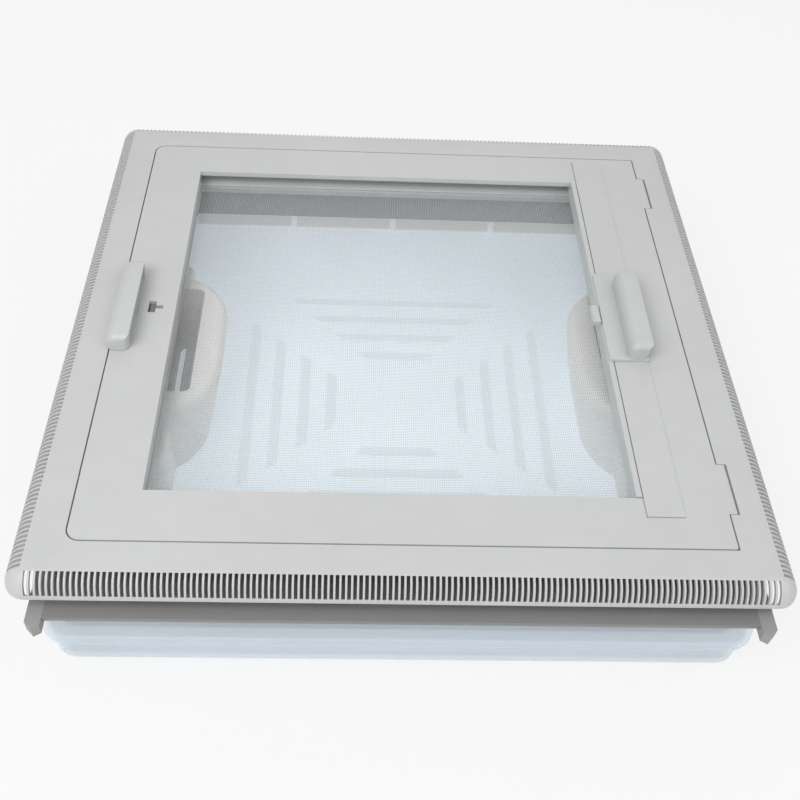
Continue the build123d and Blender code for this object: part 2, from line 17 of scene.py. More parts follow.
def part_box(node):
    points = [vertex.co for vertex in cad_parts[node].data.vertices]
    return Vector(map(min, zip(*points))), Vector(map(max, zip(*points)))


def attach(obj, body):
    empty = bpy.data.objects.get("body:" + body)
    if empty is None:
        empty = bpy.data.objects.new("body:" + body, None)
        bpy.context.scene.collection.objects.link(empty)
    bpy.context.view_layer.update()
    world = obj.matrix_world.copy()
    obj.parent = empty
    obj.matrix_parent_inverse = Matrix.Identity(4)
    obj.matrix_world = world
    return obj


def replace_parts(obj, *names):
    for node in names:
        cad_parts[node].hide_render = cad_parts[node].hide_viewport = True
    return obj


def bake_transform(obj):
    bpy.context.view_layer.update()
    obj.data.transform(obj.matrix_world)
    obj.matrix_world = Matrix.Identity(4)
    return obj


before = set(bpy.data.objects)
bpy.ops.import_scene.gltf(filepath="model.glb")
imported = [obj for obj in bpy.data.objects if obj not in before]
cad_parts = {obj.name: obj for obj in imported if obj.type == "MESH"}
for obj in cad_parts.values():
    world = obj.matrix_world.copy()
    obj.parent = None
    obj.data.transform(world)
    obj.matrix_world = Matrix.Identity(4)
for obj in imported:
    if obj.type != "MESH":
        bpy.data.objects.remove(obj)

LOG = logging.getLogger("roof_window")
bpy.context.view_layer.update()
X, Y, Z = range(3)
MM = 0.001
# How near to a plane a vertex counts as on it, in metres.
TOUCH = 1e-5

Point = tuple[float, float, float]
Colour = tuple[float, float, float]
Part = bmesh.types.BMVert | bmesh.types.BMEdge | bmesh.types.BMFace


class Pick(Enum):
    """What an edit selects."""

    VERTICES = "VERT"
    EDGES = "EDGE"
    FACES = "FACE"


class Joining(Enum):
    """How one solid acts on another."""

    CUT = "DIFFERENCE"
    ADD = "UNION"
    KEEP_SHARED = "INTERSECT"


class Side(Enum):
    """Side of the window, by the sign of X."""

    LEFT = -1
    RIGHT = 1


# Shader maths


class Field:
    """A value or vector socket that takes part in Python expressions."""

    def __init__(self, graph: "Graph", socket: bpy.types.NodeSocket) -> None:
        """Wraps an output socket of a node tree."""
        self.graph = graph
        self.socket = socket

    def _math(self, operation: str, *operands: "Operand") -> "Field":
        """Adds a Math node on one or two values."""
        return self.graph.node("ShaderNodeMath", {"operation": operation}, dict(enumerate(operands)))

    def __add__(self, other: "Operand") -> "Field":
        """Sum."""
        return self._math("ADD", self, other)

    __radd__ = __add__

    def __sub__(self, other: "Operand") -> "Field":
        """Difference."""
        return self._math("SUBTRACT", self, other)

    def __rsub__(self, other: "Operand") -> "Field":
        """Difference from a number."""
        return self._math("SUBTRACT", other, self)

    def __mul__(self, other: "Operand") -> "Field":
        """Product."""
        return self._math("MULTIPLY", self, other)

    __rmul__ = __mul__

    def __truediv__(self, other: "Operand") -> "Field":
        """Quotient."""
        return self._math("DIVIDE", self, other)

    def lowest(self, other: "Operand") -> "Field":
        """Smaller of two values."""
        return self._math("MINIMUM", self, other)

    def highest(self, other: "Operand") -> "Field":
        """Larger of two values."""
        return self._math("MAXIMUM", self, other)

    def magnitude(self) -> "Field":
        """Absolute value."""
        return self._math("ABSOLUTE", self)

    def wave(self) -> "Field":
        """Sine."""
        return self._math("SINE", self)

    def fraction(self) -> "Field":
        """Part after the decimal point."""
        return self._math("FRACT", self)

    def step(self, low: float, high: float) -> "Field":
        """Smooth rise from 0 at low to 1 at high.

        Args:
            low: value where the rise starts.
            high: value where it ends.

        Returns:
            The eased value.
        """
        return self.graph.node(
            "ShaderNodeMapRange",
            {"interpolation_type": "SMOOTHSTEP"},
            {"Value": self, "From Min": low, "From Max": high, "To Min": 0.0, "To Max": 1.0},
        )

    def rise(self, ends: tuple[float, float]) -> "Field":
        """Smooth rise from 0 to 1 between two places in millimetres."""
        return self.step(ends[0] * MM, ends[1] * MM)


Operand = Field | float
Feed = Field | float | Colour


class Graph:
    """A node tree under construction."""

    def __init__(self, tree: bpy.types.NodeTree) -> None:
        """Takes over a node tree."""
        self.tree = tree

    def add(self, kind: str, settings: dict[str, object] | None = None,
            inputs: dict[int | str, Feed] | None = None) -> bpy.types.Node:
        """Adds a node.

        Args:
            kind: the node's type.
            settings: properties of the node, set first.
            inputs: values or fields for its sockets, by name or number.

        Returns:
            The node.
        """
        node = self.tree.nodes.new(kind)
        for key, value in (settings or {}).items():
            setattr(node, key, value)
        for key, value in (inputs or {}).items():
            self.feed(node.inputs[key], value)
        return node

    def node(self, kind: str, settings: dict[str, object] | None = None,
             inputs: dict[int | str, Feed] | None = None, output: int | str = 0) -> Field:
        """Adds a node and takes one of its outputs, by name or number."""
        return Field(self, self.add(kind, settings, inputs).outputs[output])

    def feed(self, socket: bpy.types.NodeSocket, value: Feed) -> None:
        """Links or sets one input.

        Args:
            socket: the input.
            value: a field, a number or a colour.
        """
        if isinstance(value, Field):
            self.tree.links.new(value.socket, socket)
        elif socket.type == "RGBA":
            socket.default_value = (*value, 1.0)
        else:
            socket.default_value = value


class Surface(Graph):
    """A node material under construction."""

    def __init__(self, name: str) -> None:
        """Starts a material with an empty Principled shader.

        Args:
            name: the material's name.
        """
        self.material = bpy.data.materials.new(name)
        self.material.use_nodes = True
        super().__init__(self.material.node_tree)
        self.tree.nodes.clear()
        self.shader = self.add("ShaderNodeBsdfPrincipled")
        self.output = self.add("ShaderNodeOutputMaterial", inputs={"Surface": self.shaded()})

    def shaded(self) -> Field:
        """What the Principled shader gives."""
        return Field(self, self.shader.outputs[0])

    def set(self, **values: Feed) -> None:
        """Feeds the shader's sockets, where an underscore in a name stands for a space."""
        for key, value in values.items():
            self.feed(self.shader.inputs[key.replace("_", " ")], value)

    def place(self) -> Field:
        """Position on the piece."""
        return self.node("ShaderNodeTexCoord", output="Object")

    def axes(self) -> tuple[Field, ...]:
        """X, Y and Z of the position."""
        split = self.add("ShaderNodeSeparateXYZ", inputs={0: self.place()})
        return tuple(Field(self, socket) for socket in split.outputs)

    def noise(self, cells: float, octaves: float) -> Field:
        """Noise around one half, by its cells per metre and its finer octaves."""
        inputs = {"Vector": self.place(), "Scale": cells, "Detail": octaves}
        return self.node("ShaderNodeTexNoise", inputs=inputs)

    def blend_colours(self, share: Operand, first: Field | Colour, second: Field | Colour) -> Field:
        """Mix of two colours by the second one's share, with the node's sockets found by number."""
        return self.node("ShaderNodeMix", {"data_type": "RGBA"}, {0: share, 6: first, 7: second}, 2)

    def relief(self, height: Field, depth: float, strength: float) -> Field:
        """Normal bent by a height from 0 to 1, which stands for a depth in millimetres."""
        inputs = {"Height": height, "Distance": depth * MM, "Strength": strength}
        return self.node("ShaderNodeBump", inputs=inputs)


def shade(colour: Colour, factor: float) -> Colour:
    """A linear colour made lighter or darker by a factor."""
    return tuple(min(1.0, part * factor) for part in colour)


@dataclass(frozen=True)
class Finish(ABC):
    """A finish: its name, its main colour, and how it is painted."""

    name: str
    colour: Colour

    @abstractmethod
    def paint(self, surface: Surface) -> None:
        """Feeds the shader of a material under construction."""

    def material(self) -> bpy.types.Material:
        """Builds the material.

        Returns:
            The painted material.
        """
        surface = Surface(self.name)
        self.paint(surface)
        return surface.material


@dataclass(frozen=True)
class MouldedPlastic(Finish):
    """Injection-moulded plastic with a fine sparked grain and slight flow marks."""

    roughness: float
    grain: float = 0.5
    grain_depth: float = 0.06
    mottle: float = 0.03

    def paint(self, surface: Surface) -> None:
        """Feeds the shader with flow marks, cloudy gloss and grain.

        Args:
            surface: the material under construction.
        """
        flow = surface.noise(cells=9.0, octaves=3.0)
        cloud = surface.noise(cells=60.0, octaves=2.0)
        grain = surface.noise(cells=2600.0, octaves=1.0)
        tone = (flow.step(0.3, 0.7) + cloud.step(0.35, 0.65) * 0.5) / 1.5
        dark, light = shade(self.colour, 1 - self.mottle), shade(self.colour, 1 + self.mottle)
        surface.set(
            Base_Color=surface.blend_colours(tone, dark, light),
            Roughness=self.roughness + (cloud - 0.5) * 0.12,
            Normal=surface.relief(grain, self.grain_depth, self.grain),
        )


@dataclass(frozen=True)
class Acrylic(Finish):
    """Translucent bluish acrylic of the dome, slightly milky, with faint streaks, and a painted glow of light
    that is brighter at its skirt.
    """

    cover: float = 0.42
    # Strength of the painted light that the pane gives off; the crown keeps a share of it.
    glow: float = 0.07
    crown_painted_glow: float = 0.45
    skirt: tuple[float, float] = (14.0, 24.0)

    def paint(self, surface: Surface) -> None:
        """Feeds the shader with a cloudy tint, and a painted glow of light that grows towards the skirt.

        Args:
            surface: the material under construction.
        """
        cloud = surface.noise(cells=14.0, octaves=3.0)
        fine = surface.noise(cells=500.0, octaves=2.0)
        # Mask of the painted light, which rises towards the skirt.
        skirt = surface.axes()[Z].rise(self.skirt)
        surface.set(
            Base_Color=surface.blend_colours(cloud.step(0.3, 0.7), shade(self.colour, 0.985), self.colour),
            Roughness=0.10 + fine * 0.06,
            Alpha=self.cover + (cloud - 0.5) * 0.06,
            Coat_Weight=0.25,
            Emission_Color=surface.blend_colours(skirt, shade(self.colour, self.crown_painted_glow), self.colour),
            Emission_Strength=self.glow,
            Normal=surface.relief(cloud, 0.6, 0.25),
        )


@dataclass(frozen=True)
class LitTray(Finish):
    """Milky inner pane with painted daylight on its floor, a star of bars in painted shade on it, and grey
    walls with painted light and a foot in painted shade.
    """

    # Colour of the walls, and the darker colour of their foot, which is painted shade.
    wall: Colour
    foot: Colour
    # Strength of the painted light that the floor and walls give off; the walls give off a share of their
    # colour.
    glow: float = 0.29
    wall_painted_glow: float = 0.42
    # Factor of the painted shade on the bars.
    bar_painted_shade: float = 0.885
    cover: float = 0.80
    wall_cover: float = 0.93
    floor_end: tuple[float, float] = (9.8, 11.4)
    floor_half: tuple[float, float] = (176.0, 178.0)
    foot_shade_end: tuple[float, float] = (20.0, 22.0)
    first_bar: float = 50.0
    bar_pitch: float = 20.6
    bar_rows: int = 4
    bar_half: float = 28.0
    bar_growth: float = 18.4
    bar_side: tuple[float, float] = (2.6, 5.2)
    bar_tip: tuple[float, float] = (-2.0, 1.5)
    star_start: tuple[float, float] = (-8.0, -5.0)
    star_end: tuple[float, float] = (-3.0, -1.0)
    rib_pitch: float = 88.0
    rib_side: tuple[float, float] = (0.024, 0.034)

    def star(self, x: Field, y: Field) -> Field:
        """Soft mask of the painted shade on the bars, which lie in rows and grow longer outward on all four
        sides.

        Args:
            x: position across.
            y: position along.

        Returns:
            1 on a bar and 0 beside it.
        """
        across, along = x.magnitude(), y.magnitude()
        out = across.highest(along) * (1 / MM)
        aside = across.lowest(along) * (1 / MM)
        row = ((out - self.first_bar) / self.bar_pitch + 0.5).fraction() - 0.5
        in_row = 1 - (row.magnitude() * self.bar_pitch).step(*self.bar_side)
        growth = self.bar_growth / self.bar_pitch
        tip = self.bar_half - self.first_bar * growth
        in_length = 1 - (aside - out * growth).step(*(tip + place for place in self.bar_tip))
        start = out.step(*(self.first_bar + place for place in self.star_start))
        limit = self.first_bar + (self.bar_rows - 0.5) * self.bar_pitch
        end = out.step(*(limit + place for place in self.star_end))
        return in_row * in_length * start * (1 - end)

    def paint(self, surface: Surface) -> None:
        """Feeds the shader with the floor's painted daylight, its star in painted shade, and the ribbed walls
        with painted light and a foot in painted shade.

        Args:
            surface: the material under construction.
        """
        x, y, z = surface.axes()
        cloud = surface.noise(cells=11.0, octaves=3.0)
        fine = surface.noise(cells=500.0, octaves=2.0)
        walls = z.rise(self.floor_end).highest(x.magnitude().rise(self.floor_half))
        floor = surface.blend_colours(cloud.step(0.3, 0.7), shade(self.colour, 0.98), self.colour)
        # Painted shade: the bars are darker than the floor.
        floor = surface.blend_colours(self.star(x, y), floor, shade(self.colour, self.bar_painted_shade))
        # Painted shade on the lower walls, with the ribs kept in the lighter wall colour.
        rib = 1 - ((x / (self.rib_pitch * MM) + 0.5).fraction() - 0.5).magnitude().step(*self.rib_side)
        unshaded = z.rise(self.foot_shade_end).highest(rib)
        wall = surface.blend_colours(unshaded, self.foot, self.wall)
        surface.set(
            Base_Color=surface.blend_colours(walls, floor, wall),
            Roughness=0.16 + fine * 0.08,
            Alpha=self.cover + walls * (self.wall_cover - self.cover) + (cloud - 0.5) * 0.04,
            Coat_Weight=0.2,
            # Painted light: the floor and the walls give off light.
            Emission_Color=surface.blend_colours(walls, floor, shade(self.wall, self.wall_painted_glow)),
            Emission_Strength=self.glow,
            Normal=surface.relief(cloud, 0.5, 0.2),
        )


@dataclass(frozen=True)
class SoftRubber(Finish):
    """Matt black rubber with a fine bloom."""

    def paint(self, surface: Surface) -> None:
        """Feeds the shader with bloom and pores.

        Args:
            surface: the material under construction.
        """
        bloom = surface.noise(cells=120.0, octaves=4.0)
        pores = surface.noise(cells=1800.0, octaves=1.0)
        surface.set(
            Base_Color=surface.blend_colours(bloom.step(0.4, 0.8), self.colour, shade(self.colour, 1.9)),
            Roughness=0.62 + bloom * 0.2,
            Normal=surface.relief(pores, 0.08, 0.6),
        )


@dataclass(frozen=True)
class PlainSteel(Finish):
    """Drawn steel of pins and screws."""

    def paint(self, surface: Surface) -> None:
        """Feeds the shader with fine streaks.

        Args:
            surface: the material under construction.
        """
        streak = surface.noise(cells=900.0, octaves=2.0)
        surface.set(
            Base_Color=surface.blend_colours(streak, shade(self.colour, 0.88), self.colour),
            Metallic=1.0,
            Roughness=0.28 + streak * 0.15,
        )


@dataclass(frozen=True)
class Netting(Finish):
    """Woven net of fine grey strands, see-through between them."""

    pitch: float = 1.4
    strand: float = 0.15
    softness: float = 0.03

    def paint(self, surface: Surface) -> None:
        """Feeds the shader with crossing strands and holes between them.

        Args:
            surface: the material under construction.
        """
        x, y, _ = surface.axes()
        across = ((x / (self.pitch * MM)).fraction() - 0.5).magnitude()
        along = ((y / (self.pitch * MM)).fraction() - 0.5).magnitude()
        rim = 0.5 - self.strand / self.pitch / 2
        low, high = rim - self.softness, rim + self.softness
        tone = surface.noise(cells=700.0, octaves=1.0)
        surface.set(
            Base_Color=surface.blend_colours(tone, shade(self.colour, 0.8), shade(self.colour, 1.15)),
            Roughness=0.6,
            Alpha=across.step(low, high).highest(along.step(low, high)),
            Normal=surface.relief(across + along, 0.2, 0.6),
        )


@dataclass(frozen=True)
class PleatedCloth(Finish):
    """Closely woven light blind cloth."""

    thread: float = 0.7

    def paint(self, surface: Surface) -> None:
        """Feeds the shader with a weave that also shows on the upright panels.

        Args:
            surface: the material under construction.
        """
        x, y, z = surface.axes()
        turns = 2 * pi / (self.thread * MM)
        weave = (y * turns).wave() * ((z + x) * turns).wave() * 0.5 + 0.5
        slub = surface.noise(cells=350.0, octaves=3.0)
        surface.set(
            Base_Color=surface.blend_colours(slub, shade(self.colour, 0.9), shade(self.colour, 1.05)),
            Roughness=0.8 + slub * 0.1,
            Sheen_Weight=0.15,
            Normal=surface.relief(weave, 0.1, 0.5),
        )


TRIM = MouldedPlastic("trim_plastic", (0.560, 0.568, 0.565), 0.45)
# A darker copy of the trim plastic: painted shade for the trim's inner faces that show through the slots.
PAINTED_TRIM_SHADE = MouldedPlastic("trim_plastic_painted_shade", (0.13, 0.135, 0.135), 0.6)
GRIP = MouldedPlastic("grip_plastic", (0.555, 0.570, 0.560), 0.36, 0.35)
FRAME = MouldedPlastic("frame_plastic", (0.235, 0.235, 0.232), 0.5)
RAIL = MouldedPlastic("rail_plastic", (0.32, 0.32, 0.315), 0.5)
CREAM = MouldedPlastic("handle_plastic", (0.90, 0.895, 0.87), 0.38, 0.3)
LIGHT = MouldedPlastic("stay_plastic", (0.60, 0.60, 0.585), 0.42, 0.4)
OUTER = Acrylic("outer_pane", (0.70, 0.785, 0.87))
# Floor colour, wall colour, and the foot colour, which is painted shade.
INNER = LitTray("inner_pane", (0.79, 0.865, 0.915), (0.85, 0.87, 0.865), (0.62, 0.62, 0.605))
RUBBER = SoftRubber("seal_rubber", (0.028, 0.028, 0.029))
STEEL = PlainSteel("screw_steel", (0.60, 0.60, 0.58))
NET = Netting("net_threads", (0.62, 0.63, 0.63))
CLOTH = PleatedCloth("blind_cloth", (0.70, 0.69, 0.66))

FINISHED_NODES: dict[Finish, tuple[str, ...]] = {
    FRAME: ("roof_frame",),
    RAIL: ("left_side_rail", "right_side_rail"),
    RUBBER: ("frame_seal", "left_stay_pad", "right_stay_pad"),
    LIGHT: ("left_stay_guide", "right_stay_guide", "left_stay", "right_stay"),
    OUTER: ("dome_outer_pane",),
    INNER: ("dome_inner_pane",),
    CREAM: ("left_handle", "right_handle"),
    STEEL: ("left_pivot_pin", "right_pivot_pin", "near_hinge_pin", "far_hinge_pin"),
    TRIM: ("trim_frame", "flap_frame", "screen_frame", "near_blind_rail", "far_blind_rail", "cassette_cover"),
    GRIP: ("latch_grip", "latch_bolt", "blind_end_bar", "blind_grip", "blind_catch"),
    NET: ("fly_screen",),
    CLOTH: ("blind_fabric",),
}


class FinishBook:
    """Keeps one material for each finish."""

    def __init__(self) -> None:
        """Starts empty."""
        self.made: dict[str, bpy.types.Material] = {}

    def dress(self, obj: bpy.types.Object, *finishes: Finish) -> None:
        """Gives an object its finishes, one material slot for each.

        Args:
            obj: the object, whose faces keep the first slot.
            *finishes: the finishes, in the order of the slots.
        """
        obj.data.materials.clear()
        for finish in finishes:
            if finish.name not in self.made:
                self.made[finish.name] = finish.material()
            obj.data.materials.append(self.made[finish.name])


BOOK = FinishBook()


# Modelling


def node_box(node: str) -> tuple[Point, Point]:
    """Lowest and highest corner of a CAD node at rest, in millimetres."""
    low, high = (tuple(round(part / MM, 3) for part in corner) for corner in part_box(node))
    return low, high


def least(item: Part, axis: int) -> float:
    """Lowest coordinate of an edge or face."""
    return min(vertex.co[axis] for vertex in item.verts)


def most(item: Part, axis: int) -> float:
    """Highest coordinate of an edge or face."""
    return max(vertex.co[axis] for vertex in item.verts)


def runs(edge: Part, axis: int) -> bool:
    """Whether an edge reaches further than a millimetre along an axis."""
    return most(edge, axis) - least(edge, axis) > MM


class Workpiece:
    """A mesh that is modelled with operators."""

    def __init__(self, obj: bpy.types.Object) -> None:
        """Takes over a mesh object."""
        self.obj = obj

    @staticmethod
    def clear() -> None:
        """Leaves edit mode and selects nothing."""
        if bpy.context.object is not None and bpy.context.object.mode != "OBJECT":
            bpy.ops.object.mode_set(mode="OBJECT")
        bpy.ops.object.select_all(action="DESELECT")

    @classmethod
    def added(cls, name: str, size: Sequence[float] = (1.0, 1.0, 1.0)) -> "Workpiece":
        """Takes over the object that an operator has just added.

        Args:
            name: the object's new name.
            size: what its X, Y and Z are multiplied by.

        Returns:
            The new piece.
        """
        piece = cls(bpy.context.object)
        piece.obj.name = name
        piece.obj.scale = size
        return piece.settle()

    @classmethod
    def box(cls, name: str, low: Sequence[float], high: Sequence[float]) -> "Workpiece":
        """Adds a box between two corners, in millimetres.

        Args:
            name: the object's name.
            low: lowest corner.
            high: highest corner.

        Returns:
            The new piece.
        """
        cls.clear()
        centre = [(a + b) / 2 * MM for a, b in zip(low, high)]
        bpy.ops.mesh.primitive_cube_add(size=1, location=centre)
        return cls.added(name, [(b - a) * MM for a, b in zip(low, high)])

    @classmethod
    def grid(cls, name: str, low: Sequence[float], high: Sequence[float], columns: int, rows: int,
             z: float) -> "Workpiece":
        """Adds a flat grid, in millimetres.

        Args:
            name: the object's name.
            low: lowest corner in X and Y.
            high: highest corner in X and Y.
            columns: cells along X.
            rows: cells along Y.
            z: height.

        Returns:
            The new piece.
        """
        cls.clear()
        centre = [(a + b) / 2 * MM for a, b in zip(low, high)]
        bpy.ops.mesh.primitive_grid_add(x_subdivisions=columns, y_subdivisions=rows, size=1,
                                        location=(*centre, z * MM))
        return cls.added(name, ((high[X] - low[X]) * MM, (high[Y] - low[Y]) * MM, 1))

    @classmethod
    def rod(cls, name: str, radius: float, length: float, centre: Point) -> "Workpiece":
        """Adds a round rod that lies along Y, in millimetres.

        Args:
            name: the object's name.
            radius: its radius.
            length: its length.
            centre: its middle.

        Returns:
            The new piece.
        """
        cls.clear()
        bpy.ops.mesh.primitive_cylinder_add(vertices=24, radius=radius * MM, depth=length * MM,
                                            location=[part * MM for part in centre],
                                            rotation=(radians(90), 0, 0))
        return cls.added(name)

    def settle(self) -> "Workpiece":
        """Puts the object's place, turn and size into its mesh.

        Returns:
            The piece itself.
        """
        self.activate()
        bpy.ops.object.transform_apply(location=True, rotation=True, scale=True)
        return self

    def activate(self) -> None:
        """Makes this the only selected object."""
        self.clear()
        self.obj.select_set(True)
        bpy.context.view_layer.objects.active = self.obj

    def pick(self, kind: Pick, test: Callable[[Part], bool]) -> None:
        """Selects elements in edit mode, and warns if none are found.

        Args:
            kind: vertices, edges or faces.
            test: says of each element if it is wanted.
        """
        self.activate()
        bpy.ops.object.mode_set(mode="EDIT")
        bpy.ops.mesh.select_mode(type=kind.value)
        bpy.ops.mesh.select_all(action="DESELECT")
        mesh = bmesh.from_edit_mesh(self.obj.data)
        items = {Pick.VERTICES: mesh.verts, Pick.EDGES: mesh.edges, Pick.FACES: mesh.faces}[kind]
        wanted = [item for item in items if test(item)]
        for item in wanted:
            item.select_set(True)
        mesh.select_flush_mode()
        bmesh.update_edit_mesh(self.obj.data)
        if not wanted:
            LOG.warning("%s: nothing picked", self.obj.name)

    def round_edges(self, test: Callable[[Part], bool], radius: float, segments: int) -> None:
        """Rounds the edges that the test wants, by a reach in millimetres."""
        self.pick(Pick.EDGES, test)
        bpy.ops.mesh.bevel(offset=radius * MM, segments=segments, affect="EDGES")

    def move(self, x: float = 0.0, y: float = 0.0, z: float = 0.0) -> None:
        """Moves what is selected in edit mode, in millimetres."""
        bpy.ops.transform.translate(value=(x * MM, y * MM, z * MM))

    def inset(self, width: float) -> None:
        """Draws the selected face's outline inward by a width in millimetres."""
        bpy.ops.mesh.inset(thickness=width * MM)

    def extrude(self, x: float = 0.0, z: float = 0.0) -> None:
        """Pulls the selected face out of or into the piece, in millimetres."""
        bpy.ops.mesh.extrude_region_move(TRANSFORM_OT_translate={"value": (x * MM, 0, z * MM)})

    def modify(self, kind: str, **settings: object) -> None:
        """Adds a modifier and applies it.

        Args:
            kind: the modifier's type.
            **settings: its properties.
        """
        self.activate()
        modifier = self.obj.modifiers.new(kind.lower(), kind)
        for key, value in settings.items():
            setattr(modifier, key, value)
        bpy.ops.object.modifier_apply(modifier=modifier.name)

    def combine(self, other: "Workpiece", joining: Joining = Joining.CUT) -> None:
        """Cuts this piece with another one, or joins the two, and uses the other one up."""
        self.modify("BOOLEAN", operation=joining.value, object=other.obj, solver="MANIFOLD")
        bpy.data.objects.remove(other.obj)

    def copy(self, turn: float) -> "Workpiece":
        """Copies the piece with its own mesh.

        Args:
            turn: turn about the vertical axis, in degrees.

        Returns:
            The copy.
        """
        self.clear()
        twin = self.obj.copy()
        twin.data = self.obj.data.copy()
        bpy.context.scene.collection.objects.link(twin)
        twin.rotation_euler = (0, 0, radians(turn))
        return Workpiece(twin).settle()

    def mirror(self) -> None:
        """Turns the piece into its mirror image across the plane between left and right."""
        self.obj.scale = (-1, 1, 1)
        self.settle()
        self.pick(Pick.FACES, lambda face: True)
        bpy.ops.mesh.normals_make_consistent(inside=False)
        self.clear()

    def join(self, others: Sequence["Workpiece"]) -> None:
        """Joins other pieces into this one.

        Args:
            others: the pieces, which are used up.
        """
        self.activate()
        for other in others:
            other.obj.select_set(True)
        bpy.ops.object.join()

    def finish(self, *finishes: Finish, body: str = "", angle: float = 30.0) -> bpy.types.Object:
        """Smooths, dresses and mounts the piece.

        Args:
            *finishes: its finishes.
            body: the body that it rides on; empty leaves the piece on no body.
            angle: edges sharper than this stay sharp, in degrees.

        Returns:
            The finished object.
        """
        self.activate()
        bpy.ops.object.shade_smooth_by_angle(angle=radians(angle))
        self.clear()
        BOOK.dress(self.obj, *finishes)
        if body:
            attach(self.obj, body)
        LOG.info("%s: %d faces", self.obj.name, len(self.obj.data.polygons))
        return self.obj


TRIM_LOW, TRIM_HIGH = node_box("trim_frame")
HANDLE_LOW, HANDLE_HIGH = node_box("left_handle")


@dataclass
class CeilingTrim:
    """Square ceiling trim with a rounded, finely slotted edge, a bed for the flap and a collar."""

    half: float = TRIM_HIGH[X]
    face: float = TRIM_HIGH[Z]
    rim: float = 86.0
    edge_round: float = 13.0
    wall: float = 2.5
    bed_half: float = 199.0
    bed_right: float = 198.0
    bed_depth: float = 3.0
    bed_corner: float = 9.0
    collar_half: float = 191.4
    collar_low: float = TRIM_LOW[Z]
    slot_pitch: float = 3.37
    slot_width: float = 2.15
    slot_length: float = 14.2
    slot_count: int = 129
    hinge_tabs: tuple[tuple[float, float], ...] = ((133.0, 172.0), (-172.0, -133.0))
    tab_play: float = 0.5
    bay_left: float = 193.5
    bay_right: float = 203.9
    bay_floor: float = 94.0
    cutter_past: float = 1.0
    latch_notch: tuple[Point, Point] = ((-194.2, -14.0, 59.0), (-191.0, 14.0, 94.4))
    inner_margin: float = 0.4
    rim_band: float = 2.0

    def shell(self) -> Workpiece:
        """Skin of the trim, from the skirt's rim over the edge to the foot of the collar.

        Returns:
            The skin with its wall thickness.
        """
        piece = Workpiece.box("ceiling_trim", (-self.half, -self.half, self.rim),
                              (self.half, self.half, self.face))
        piece.pick(Pick.FACES, lambda face: face.normal.z < -0.9)
        bpy.ops.mesh.delete(type="FACE")
        top = self.face * MM - TOUCH
        piece.round_edges(lambda edge: most(edge, Z) > top, self.edge_round, segments=10)
        piece.pick(Pick.FACES, lambda face: face.normal.z > 0.999
                   and face.calc_center_median().xy.length < MM)
        piece.inset(self.half - self.edge_round - self.bed_half)
        piece.extrude(z=-self.bed_depth)
        piece.inset(self.bed_half - self.collar_half)
        piece.extrude(z=self.collar_low - self.face + self.bed_depth)
        bpy.ops.mesh.delete(type="FACE")
        bed = self.bed_half * MM
        piece.round_edges(
            lambda edge: runs(edge, Z) and abs(most(edge, X) + bed) < TOUCH
            and all(abs(abs(vertex.co.y) - bed) < TOUCH for vertex in edge.verts),
            self.bed_corner, segments=6)
        ledge = (self.face - self.bed_depth) * MM - TOUCH
        piece.pick(Pick.VERTICES, lambda vertex: abs(vertex.co.x - bed) < TOUCH and vertex.co.z > ledge)
        piece.move(x=self.bed_right - self.bed_half)
        piece.modify("SOLIDIFY", thickness=self.wall * MM, offset=-1.0, use_even_offset=True)
        return piece

    def slot_cutters(self) -> Workpiece:
        """Rows of cutters for the slots of the four sides, leaning at 45 degrees.

        Returns:
            The cutters, joined.
        """
        centre = self.half - self.edge_round * (1 - cos(radians(45)))
        height = self.face - self.edge_round * (1 - sin(radians(45)))
        first = -(self.slot_count - 1) / 2 * self.slot_pitch
        deep = 3 * self.wall
        cutters = Workpiece.box("slot_cutters", (-deep, -self.slot_width / 2, -self.slot_length / 2),
                                (deep, self.slot_width / 2, self.slot_length / 2))
        cutters.obj.rotation_euler = (0, radians(-45), 0)
        cutters.obj.location = (centre * MM, first * MM, height * MM)
        cutters.settle()
        cutters.modify("ARRAY", count=self.slot_count, use_relative_offset=False, use_constant_offset=True,
                       constant_offset_displace=(0, self.slot_pitch * MM, 0))
        cutters.join([cutters.copy(turn) for turn in (90, 180, 270)])
        return cutters

    def paint_inner_shade(self, obj: bpy.types.Object) -> None:
        """Gives the second finish, a painted shade, to the faces that only show through the slots.

        Args:
            obj: the finished trim.
        """
        collar = (self.collar_half + self.wall + self.inner_margin) * MM
        roof = (self.face - self.wall - self.inner_margin) * MM
        skirt = (self.rim + self.rim_band) * MM
        for face in obj.data.polygons:
            out = max(abs(face.center.x), abs(face.center.y))
            outward = face.normal.x * face.center.x + face.normal.y * face.center.y > 0.5 * out
            collar_back = outward and out < collar and face.center.z < roof
            underside = face.normal.z < -0.7 and face.center.z > skirt
            if collar_back or underside:
                face.material_index = 1

    def build(self) -> None:
        """Models the trim and puts it in place of its node."""
        piece = self.shell()
        piece.combine(self.slot_cutters())
        for near, far in self.hinge_tabs:
            piece.combine(Workpiece.box("hinge_bay", (self.bay_left, near - self.tab_play, self.bay_floor),
                                        (self.bay_right, far + self.tab_play, self.face + self.cutter_past)))
        piece.combine(Workpiece.box("latch_notch", *self.latch_notch))
        # The second finish is painted shade, given to the inner faces below.
        obj = piece.finish(TRIM, PAINTED_TRIM_SHADE, body="trim")
        self.paint_inner_shade(obj)
        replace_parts(obj, "trim_frame")


